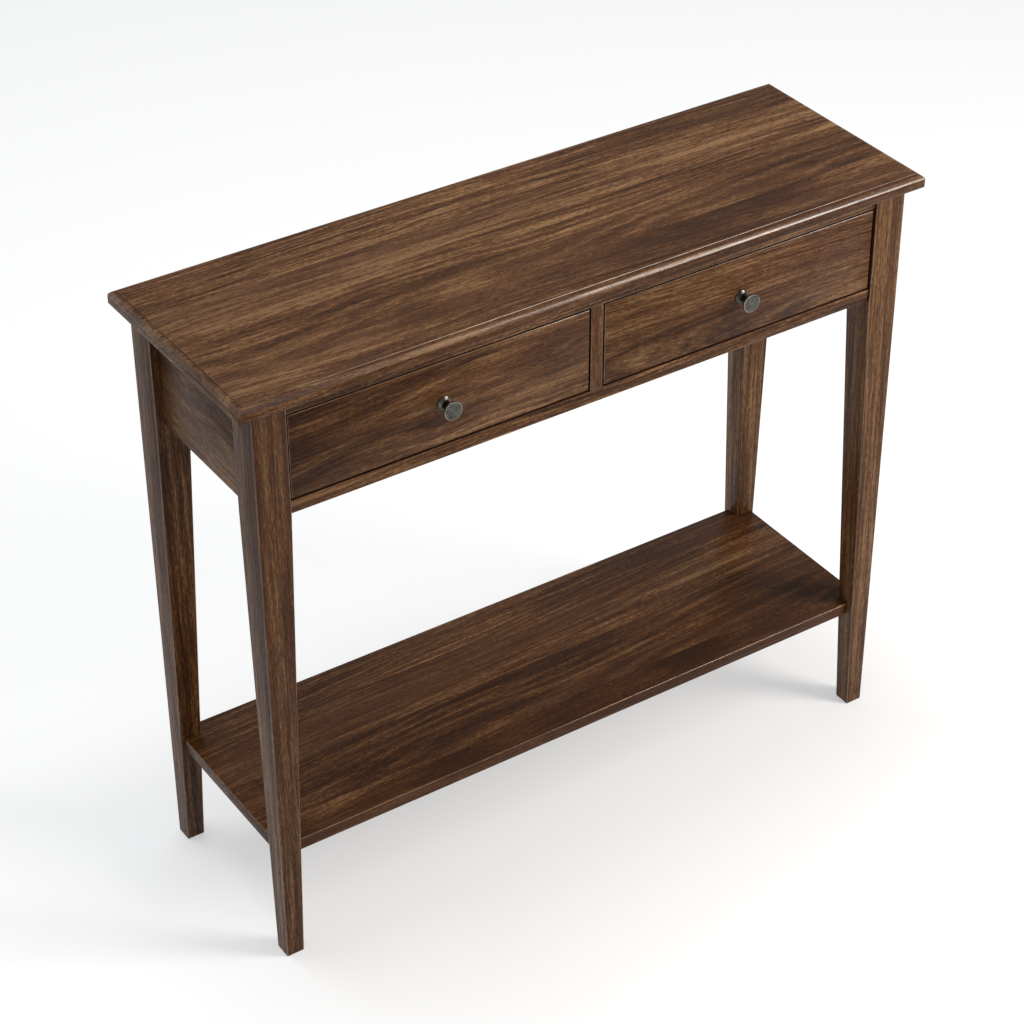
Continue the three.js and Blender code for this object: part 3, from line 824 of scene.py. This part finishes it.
def turn_knob(word):
    low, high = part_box(f"drawer_{word}_knob")
    axis = (low + high) / 2
    back = high.y
    reach, head = high.y - low.y, (high.x - low.x) / 2
    points = knob_outline(reach, head * FLANGE_SHARE, head)
    let_go()
    bpy.ops.mesh.primitive_plane_add(size=0.001, location=(0, 0, 0))
    knob = bpy.context.object
    knob.name = f"drawer_{word}_turned_knob"
    give_empty_slots(knob, 2)
    bpy.ops.object.mode_set(mode="EDIT")
    bpy.ops.mesh.select_mode(type="VERT")
    bpy.ops.mesh.select_all(action="SELECT")
    bpy.ops.mesh.merge(type="CENTER")
    bpy.ops.transform.translate(value=(axis.x, back - points[0][1], axis.z))
    for (r0, d0), (r1, d1) in zip(points, points[1:]):
        bpy.ops.mesh.extrude_vertices_move(
            TRANSFORM_OT_translate={"value": (r1 - r0, d0 - d1, 0)}
        )
    bpy.ops.mesh.select_all(action="SELECT")
    bpy.ops.mesh.spin(
        steps=KNOB_STEPS, angle=radians(360), center=(axis.x, back, axis.z), axis=(0, 1, 0)
    )
    bpy.ops.mesh.select_all(action="SELECT")
    bpy.ops.mesh.remove_doubles(threshold=WELD)
    bpy.ops.mesh.normals_make_consistent(inside=False)
    leave_edit()
    rim = head * RIM_SHARE
    # The rim faces take the lighter pewter, the painted highlight.
    give_slot(
        knob,
        1,
        lambda centre, normal: (centre.x - axis.x) ** 2 + (centre.z - axis.z) ** 2 > rim**2,
    )
    finish_piece(
        knob, f"{word}_drawer", [f"drawer_{word}_knob"], [pewter, painted_rim_highlight_pewter]
    )


for word in ("left", "right"):
    turn_knob(word)

# %% [markdown]
# ## The pieces that stay as they are
# The drawer boxes, runners, guides, dowels and screws have the right shape already. They only
# need a finish: fibres run front to back on the runners and drawer sides, and along the back.

# %% Finish the pieces carried over
INNER_ALONG_Y = ("side", "runner", "kicker", "guide", "divider")
for name, piece in frame["nodes"].items():
    if piece.hide_render:
        continue
    if "screw" in name or "bolt" in name:
        finish = zinc
    elif name.endswith("_bottom"):
        finish = birch_ply
    elif any(word in name for word in INNER_ALONG_Y):
        finish = maple_y
    else:
        finish = maple_x
    piece.data.materials.clear()
    piece.data.materials.append(finish)
print("carried over", len([p for p in frame["nodes"].values() if not p.hide_render]), "pieces")

# %% [markdown]
# ## Floor, light and camera
# The table stands on a plain pale floor in a bright studio. A pale world gives soft light from
# all round. A lamp to the right models the faces, a softbox in front draws the line of light
# along the moulding, and one overhead lights the top. The paper glows a little by itself, which
# keeps the shadows pale, and is a touch cool, because the two front lamps are warm.

# %% Set the stage
FLOOR_SIZE = 40
let_go()
bpy.ops.mesh.primitive_plane_add(size=FLOOR_SIZE, location=(0, 0, 0))
floor = bpy.context.object
floor.name = "studio_floor"
paper, paper_tree, paper_shader = new_finish("studio_paper")
paper_shader.inputs["Base Color"].default_value = (0.486, 0.501, 0.514, 1)
paper_shader.inputs["Emission Color"].default_value = (1, 1, 1, 1)
paper_shader.inputs["Emission Strength"].default_value = 0.41
paper_shader.inputs["Roughness"].default_value = 0.9
floor.data.materials.append(paper)

world = bpy.data.worlds.new("studio_world")
bpy.context.scene.world = world
world.use_nodes = True
world.node_tree.nodes["Background"].inputs["Color"].default_value = (1, 1, 1, 1)
world.node_tree.nodes["Background"].inputs["Strength"].default_value = 0.58


def soft_lamp(name, place, target, size, power, colour=(1, 1, 1), tall=0.0):
    """A round soft lamp, or an upright softbox if it is given a height."""
    let_go()
    bpy.ops.object.light_add(type="AREA", location=place)
    lamp = bpy.context.object
    lamp.name = name
    lamp.data.shape = "RECTANGLE" if tall else "DISK"
    lamp.data.size = size
    lamp.data.size_y = tall or size
    lamp.data.energy = power
    lamp.data.color = colour
    aim = Vector(target) - Vector(place)
    lamp.rotation_euler = aim.to_track_quat("-Z", "Y").to_euler()
    return lamp


soft_lamp("side_lamp", (2.3, -2.07, 1.75), (0, 0, 0.6), 1.3, 62, (1.0, 0.94, 0.88))
soft_lamp("front_softbox", (1.85, -1.92, 2.86), (0, 0, 0.7), 0.9, 52, (1.0, 0.88, 0.79), 2.0)
soft_lamp("top_lamp", (-0.6, 1.0, 4.4), (0, 0, 0.5), 2.5, 84)

CAMERA_PLACE = (-1.6533, -2.4571, 2.5185)
CAMERA_TURN = (54.858, 0.197, -33.575)
CAMERA_LENS = 96.28
let_go()
bpy.ops.object.camera_add(location=CAMERA_PLACE, rotation=[radians(a) for a in CAMERA_TURN])
camera = bpy.context.object
camera.data.lens = CAMERA_LENS
camera.data.sensor_width = 36
bpy.context.scene.camera = camera
bpy.context.scene.view_settings.view_transform = "Standard"
print("camera", CAMERA_PLACE, "lens", CAMERA_LENS)
